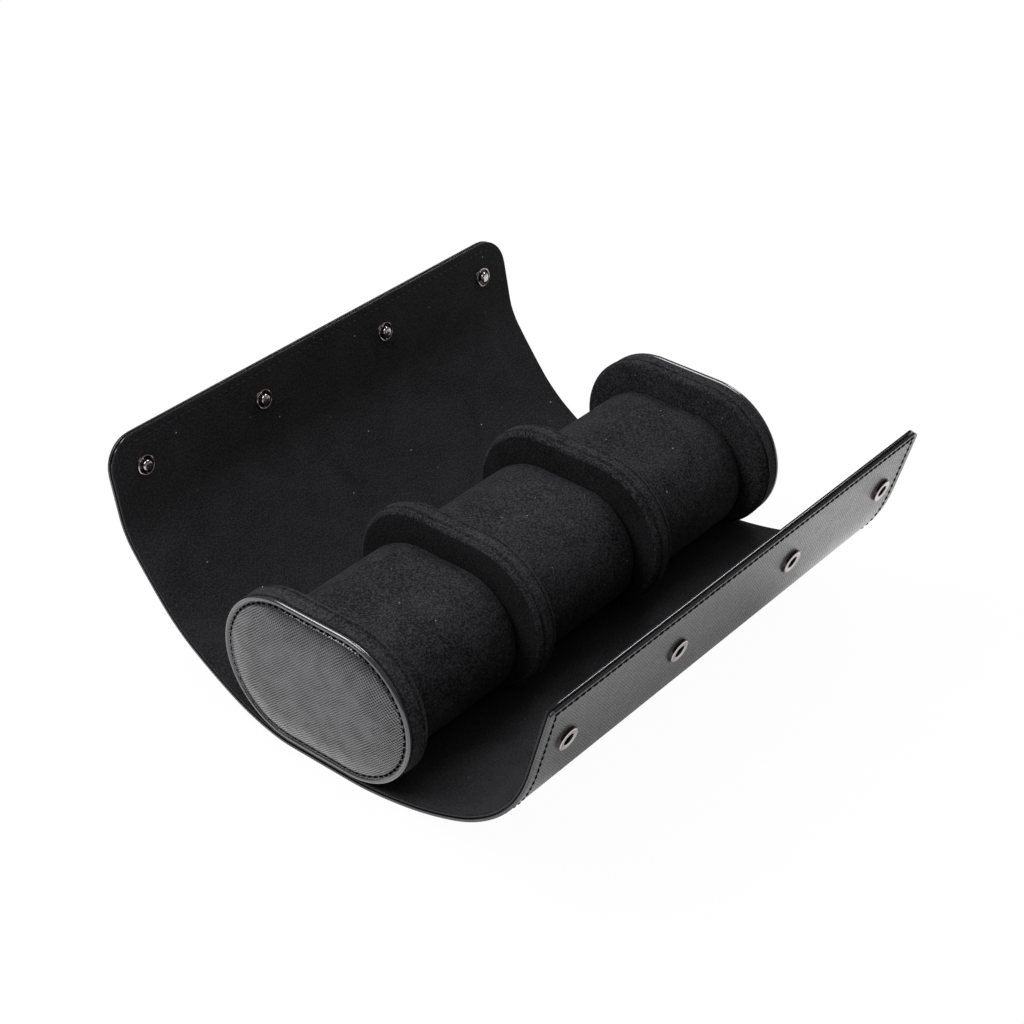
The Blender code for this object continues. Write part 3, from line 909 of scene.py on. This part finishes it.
cap = {
    "inner": 93.5 * mm,  # x of the side towards the bays
    "outer": 103.0 * mm,
    "faceBack": 101.2 * mm,
    "rounding": 1.9 * mm,
    "seamIn": 2.6 * mm,  # from the inner side to the seam round the suede
    "weltRadius": 1.0 * mm,
    "panelIn": 1.7 * mm,  # inset of the panel's edge, under the welt
    "panelDrop": 0.4 * mm,  # how far its stitched margin lies below the welt's crown
    "groove": 2.65 * mm,  # inset of the stitched line
    "grooveWidth": 0.5 * mm,
    "grooveDepth": 0.45 * mm,
    "dome": 3.6 * mm,
    "domeReach": 13.0 * mm,
    "tuck": 0.25 * mm,  # inset of the suede where the face covers its edge
    "backGap": 0.05 * mm,
    "fineRows": (18, 0.14 * mm),  # rows of points over the stitched margin, and their step
    "wideRows": (12, 0.8 * mm, 1.25),  # rows over the dome, their first step, and how they spread
    "stitchPitch": 2.9 * mm,
    "stitchLength": 2.0 * mm,
    "thread": 0.33 * mm,
}


def makeCapCover(name, facing):
    sections = rimSections(cap["inner"], cap["faceBack"] + cap["rounding"], cap["rounding"])
    sections = [(x, inset) for x, inset in sections if x < cap["faceBack"]] + [(cap["faceBack"], cap["tuck"])]
    sections = [seamDip(x, inset, (cap["inner"] + cap["seamIn"],)) for x, inset in sections]
    sections = closedEnds(sections, rim["height"] / 2)
    piece = rimLoft(f"{name}_suede", sections, "suedeCover", "black_suede", facing)
    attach(piece, "case")
    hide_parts(f"{name}_cover")


def makeCapWelt(name, facing):
    # Rolled leather ring round the face
    radius, steps = cap["weltRadius"], 14
    sections = []
    for k in range(steps + 1):
        angle = 2 * math.pi * (k % steps) / steps
        x = cap["outer"] - radius + cap["panelDrop"] + radius * math.sin(angle)
        sections.append((x, radius * (1 - math.cos(angle))))
    piece = rimLoft(f"{name}_rolled_welt", sections, "weltLeather", "black_leather", facing)
    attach(piece, "case")
    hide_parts(f"{name}_welt")


def faceHeight(inset):
    # How far the leather face stands out at an inset from the rim
    dip = cap["grooveDepth"] * math.exp(-(((inset - cap["groove"]) / cap["grooveWidth"]) ** 2))
    rise = min(max((inset - cap["groove"]) / cap["domeReach"], 0.0), 1.0)
    return cap["dome"] * (1 - (1 - rise) ** 2) - dip


def makeCapFace(name, facing):
    count, step = cap["fineRows"]
    inner = [cap["panelIn"] + step * k for k in range(count)]
    count, step, spread = cap["wideRows"]
    inner += [inner[-1] + step * k**spread for k in range(1, count + 1)]
    middle = rim["height"] / 2
    inner = [inset for inset in inner if inset < middle - 1 * mm] + [middle]
    front = [(cap["outer"] + faceHeight(inset), inset) for inset in inner]
    back = [(cap["faceBack"] + cap["backGap"], inset) for inset in (middle, cap["panelIn"])]
    piece = rimLoft(f"{name}_leather", back + front, "faceLeather", "black_leather", facing)
    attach(piece, "case")
    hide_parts(f"{name}_face")

    places = []
    path = racetrack(rim["width"], rim["height"], cap["groove"])
    for place, direction in evenly(path + path[:1], cap["stitchPitch"]):
        x = facing * (cap["outer"] + faceHeight(cap["groove"]) + 0.1 * mm)
        here = Vector((x, place.x, rim["centre"] + place.y))
        places.append(frameOf(here, Vector((0, direction.x, direction.y)), Vector((facing, 0, 0))))
    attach(stitchPiece(f"{name}_stitches", places, cap["stitchLength"], cap["thread"]), "case")


for name, facing in (("left_cap", -1), ("right_cap", 1)):
    makeCapCover(name, facing)
    makeCapWelt(name, facing)
    makeCapFace(name, facing)
print("rims built")


# Pillows, swelled by a short cloth simulation

pillow = {
    "rounding": 4.5 * mm,
    "voxel": 2.4 * mm,
    "startIn": 0.5 * mm,
    "pressure": 3.0,
    "frames": 16,
    "quality": 6,
    "most": 0.8 * mm,  # how far a point may swell
    "clear": 0.1 * mm,
}


def swell(piece, low, high):
    start = np.array([v.co for v in piece.data.vertices])
    cloth = piece.modifiers.new("cloth", "CLOTH")
    cloth.settings.use_pressure = True
    cloth.settings.uniform_pressure_force = pillow["pressure"]
    cloth.settings.effector_weights.gravity = 0.0
    cloth.settings.quality = pillow["quality"]
    scene = bpy.context.scene
    for number in range(1, pillow["frames"] + 1):
        scene.frame_set(number)
    depsgraph = bpy.context.evaluated_depsgraph_get()
    solved = np.array([v.co for v in piece.evaluated_get(depsgraph).data.vertices])
    piece.modifiers.clear()
    scene.frame_set(1)
    move = solved - start
    reach = np.linalg.norm(move, axis=1, keepdims=True)
    move *= np.minimum(1.0, pillow["most"] / np.maximum(reach, 1e-9))
    solved = np.clip(start + move, np.array(low) + pillow["clear"], np.array(high) - pillow["clear"])
    piece.data.vertices.foreach_set("co", solved.ravel())


def makePillow(number):
    low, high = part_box(f"pillow_{number}_cover")
    size, middle = high - low, (low + high) / 2
    sections = rimSections(-size.x / 2, size.x / 2, pillow["rounding"], size.x)
    sections = closedEnds(sections, size.z / 2)
    sections = [(x, inset + pillow["startIn"]) if inset < size.z / 2 - 1e-6 else (x, inset)
                for x, inset in sections]
    name = f"pillow_{number}_suede"
    piece = loft(name, size.y, size.z, 0.0, sections, finish["suedePillow"], "black_suede")
    piece.location = middle
    remesh = piece.modifiers.new("remesh", "REMESH")
    remesh.mode = "VOXEL"
    remesh.voxel_size = pillow["voxel"]
    depsgraph = bpy.context.evaluated_depsgraph_get()
    mesh = bpy.data.meshes.new_from_object(piece.evaluated_get(depsgraph))
    piece.modifiers.clear()
    piece.data = mesh
    swell(piece, low - middle, high - middle)
    mesh.transform(Matrix.Translation(middle))  # so that the nap differs from pillow to pillow
    piece.location = (0, 0, 0)
    smooth = piece.modifiers.new("smooth", "SUBSURF")
    smooth.levels = smooth.render_levels = 1
    mesh.shade_smooth()
    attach(piece, f"pillow_{number}")
    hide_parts(f"pillow_{number}_cover")


for number in (1, 2, 3):
    makePillow(number)
print("pillows swelled")


# Snaps, turned finer than the CAD's

snap = {"steps": 40, "search": 0.1 * mm}


def turnedPiece(name, profile, place, metal):
    # profile is (radius, height) pairs in millimetres, spun about the local Z
    points = []
    for radius, height in profile:
        for k in range(snap["steps"]):
            angle = 2 * math.pi * k / snap["steps"]
            spun = Vector((radius * math.cos(angle), radius * math.sin(angle), height))
            points.append(place @ (spun * mm))
    faces = latticeFaces(len(profile), snap["steps"], closed=True)
    return newPiece(name, points, faces, finish[metal], 40)


def snapFrame(wall, node, outside, depth):
    # Axis of a snap: at its CAD node's middle, square to the wrap there
    low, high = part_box(node)
    middle = (low + high) / 2
    nearest = min(
        (k * snap["search"] for k in range(int(wall["tip"] / snap["search"]) + 1)),
        key=lambda s: (sheetPoint(wall, middle.x, s, depth) - middle).length,
    )
    return sheetFrame(wall, middle.x, nearest, Vector((1, 0)), depth, outside)


# Profiles in millimetres, height counted outwards from the wrap's surface
studProfile = [
    (0.0, 2.0), (1.0, 1.98), (1.6, 1.84), (1.92, 1.52), (2.0, 1.2), (1.9, 0.9), (1.7, 0.65), (1.65, -0.1),
    (0.0, -0.1),
]
studCup = [
    (1.6, 0.1), (2.9, 0.1), (3.05, 0.45), (3.2, 0.65), (3.45, 0.55), (3.65, 0.3), (3.75, -0.1), (4.4, -0.14),
    (4.4, -0.3), (1.6, -0.3), (1.6, 0.1),
]
studRing = [(3.05, 0.5), (3.15, 0.78), (3.4, 0.86), (3.64, 0.7), (3.7, 0.4), (3.35, 0.35), (3.05, 0.5)]
socketBody = [
    (2.2, 0.1), (2.2, 0.7), (2.4, 0.9), (4.1, 0.95), (4.45, 0.9), (4.55, 0.6), (4.6, 0.25), (4.8, 0.05),
    (5.0, -0.1), (4.5, -0.2), (2.25, -0.2), (2.2, 0.1),
]
socketFace = [
    (2.3, 0.8), (2.32, 1.05), (2.55, 1.18), (2.75, 1.1), (3.0, 1.16), (3.7, 1.26), (4.05, 1.24), (4.25, 1.08),
    (4.2, 0.9), (2.5, 0.8), (2.3, 0.8),
]
capProfile = [
    (0.0, 1.6), (1.5, 1.56), (2.9, 1.42), (4.1, 1.12), (4.9, 0.78), (5.35, 0.5), (5.6, 0.25), (5.55, 0.05),
    (5.3, 0.0), (0.0, 0.0),
]


turnedParts = {  # wall, on its outside or not, and each part's profile and finish
    "stud": ("back", False, {
        "ball": (studProfile, "gunmetalPlate"),
        # the cup takes the painted shade of the darker gunmetal
        "cup": (studCup, "gunmetalPaintedShade"),
        "ring": (studRing, "gunmetalPlate"),
    }),
    "socket": ("front", True, {
        # the socket's side wall takes the painted shade of the darker gunmetal
        "body": (socketBody, "gunmetalPaintedShade"),
        "face": (socketFace, "gunmetalPlate"),
    }),
    "cap": ("back", True, {"dome": (capProfile, "gunmetalPlate")}),
}


def makeSnap(number):
    for kind, (side, outside, turns) in turnedParts.items():
        node, wall = f"snap_{kind}_{number}", walls[side]
        place = snapFrame(wall, node, outside, wrap["thickness"] if outside else 0.0)
        for part, (profile, metal) in turns.items():
            piece = turnedPiece(f"snap_{kind}_{number}_{part}", profile, place, metal)
            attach(piece, wall["panel"])
            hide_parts(node)


for number in (1, 2, 3, 4):
    makeSnap(number)
print("snaps turned")


# Materials of the CAD nodes that stay

for name, node in frame["nodes"].items():
    if name.startswith("snap_"):
        # painted shade: the darker copy of the gunmetal
        material = "gunmetalPaintedShade"
    elif name.endswith("_foam"):
        material = "pillowFoam"
    elif name.endswith(("_board", "_core")):
        material = "stiffenerBoard"
    else:
        material = "suedeCover"
    node.data.materials.clear()
    node.data.materials.append(finish[material])


# Floor, world and lamps

studio = {
    "worldSide": 0.15,  # light from the world at the horizon and overhead
    "worldTop": 0.75,
    "mirroredWorld": 0.12,  # what mirror-like surfaces show of it above the horizon
    "floorWhite": 0.975,  # share of the floor's own white, the rest takes shadow
    "shadeWhite": 0.08,  # the same in mirror-like surfaces, under and close to the case
    "shadeHalf": (0.055, 0.09),  # size of that shade, and how softly it ends
    "shadeSoft": 0.055,
    "farShade": (0.14, 0.42),  # distance over which the mirrored floor darkens again
    "farWhite": 0.2,
    "floorHalf": 6.0,
    "floorMatt": (0.93, 0.93, 0.93, 1),
    "horizon": 0.06,  # height over which the mirrored world falls from white
    "lamps": {  # place, aim, size and watts
        "key": ((-0.27, 0.18, 0.53), (0.0, 0.0, 0.02), 0.4, 1.9),
        "edge": ((0.73, 0.12, 0.94), (0.0, -0.09, 0.07), 0.4, 4.2),
        "back": ((-0.15, 0.45, 0.76), (-0.1, 0.0, 0.04), 0.35, 1.5),
    },
}


def seenShare(tree, straight=1.0, mirrored=1.0):
    # Share for rays from the camera, and for mirror-like and clear rays
    path = addNode(tree, "ShaderNodeLightPath")
    bounced = maths(tree, "MAXIMUM", path.outputs["Is Glossy Ray"], path.outputs["Is Transmission Ray"])
    bounced = maths(tree, "MULTIPLY", bounced, mirrored)
    return maths(tree, "MAXIMUM", maths(tree, "MULTIPLY", path.outputs["Is Camera Ray"], straight), bounced)


def shadeOfCase(tree):
    # White share of the mirrored floor, low under the case and again far from it
    place = addNode(tree, "ShaderNodeNewGeometry").outputs["Position"]
    parts = addNode(tree, "ShaderNodeSeparateXYZ", {"Vector": place})
    beyond = []
    for axis, half in zip("XY", studio["shadeHalf"]):
        side = maths(tree, "SUBTRACT", maths(tree, "ABSOLUTE", parts.outputs[axis]), half)
        beyond.append(maths(tree, "POWER", maths(tree, "MAXIMUM", side, 0.0), 2.0))
    away = maths(tree, "SQRT", maths(tree, "ADD", beyond[0], beyond[1]))
    near = remap(tree, away, 0, studio["shadeSoft"], studio["shadeWhite"], studio["floorWhite"])
    start, end = studio["farShade"]
    far = remap(tree, away, start, end, studio["floorWhite"], studio["farWhite"])
    return maths(tree, "MINIMUM", near, far)


def makeFloor():
    bm = bmesh.new()
    bmesh.ops.create_grid(bm, x_segments=1, y_segments=1, size=studio["floorHalf"])
    mesh = bpy.data.meshes.new("floor")
    bm.to_mesh(mesh)
    bm.free()
    floor = bpy.data.objects.new("floor", mesh)
    bpy.context.scene.collection.objects.link(floor)
    material = bpy.data.materials.new("paleFloor")
    material.use_nodes = True
    tree = material.node_tree
    tree.nodes.remove(tree.nodes["Principled BSDF"])
    matt = addNode(tree, "ShaderNodeBsdfDiffuse", {"Color": studio["floorMatt"]})
    glow = addNode(tree, "ShaderNodeEmission", {"Color": (1, 1, 1, 1), "Strength": 1.0})
    share = seenShare(tree, studio["floorWhite"], shadeOfCase(tree))
    mix = addNode(tree, "ShaderNodeMixShader", {0: share, 1: matt.outputs[0], 2: glow.outputs[0]})
    tree.links.new(mix.outputs[0], tree.nodes["Material Output"].inputs["Surface"])
    mesh.materials.append(material)


def makeWorld():
    world = bpy.data.worlds.new("studio")
    bpy.context.scene.world = world
    world.use_nodes = True
    tree = world.node_tree
    background = tree.nodes["Background"]
    background.inputs["Color"].default_value = (1, 1, 1, 1)
    way = addNode(tree, "ShaderNodeTexCoord").outputs["Generated"]
    height = addNode(tree, "ShaderNodeSeparateXYZ", {"Vector": way}).outputs["Z"]
    plain = remap(tree, height, 0, 1, studio["worldSide"], studio["worldTop"])
    mirrored = remap(tree, height, 0.0, studio["horizon"], 1.0, studio["mirroredWorld"])
    path = addNode(tree, "ShaderNodeLightPath")
    glossy, camera = path.outputs["Is Glossy Ray"], seenShare(tree, 1.0, 0.0)
    clear = maths(tree, "MAXIMUM", camera, path.outputs["Is Transmission Ray"])
    strength = addNode(tree, "ShaderNodeMix", {"Factor": glossy, 2: plain, 3: mirrored}).outputs[0]
    strength = addNode(tree, "ShaderNodeMix", {"Factor": clear, 2: strength, 3: 1.0}).outputs[0]
    tree.links.new(strength, background.inputs["Strength"])


def makeLamps():
    for name, (place, aim, size, watts) in studio["lamps"].items():
        lamp = bpy.data.lights.new(name, "AREA")
        lamp.shape = "DISK"
        lamp.size = size
        lamp.energy = watts
        holder = bpy.data.objects.new(name, lamp)
        bpy.context.scene.collection.objects.link(holder)
        holder.location = place
        holder.rotation_euler = (Vector(aim) - Vector(place)).to_track_quat("-Z", "Y").to_euler()


makeFloor()
makeWorld()
makeLamps()
bpy.context.scene.view_settings.view_transform = "Standard"
print("studio lit")
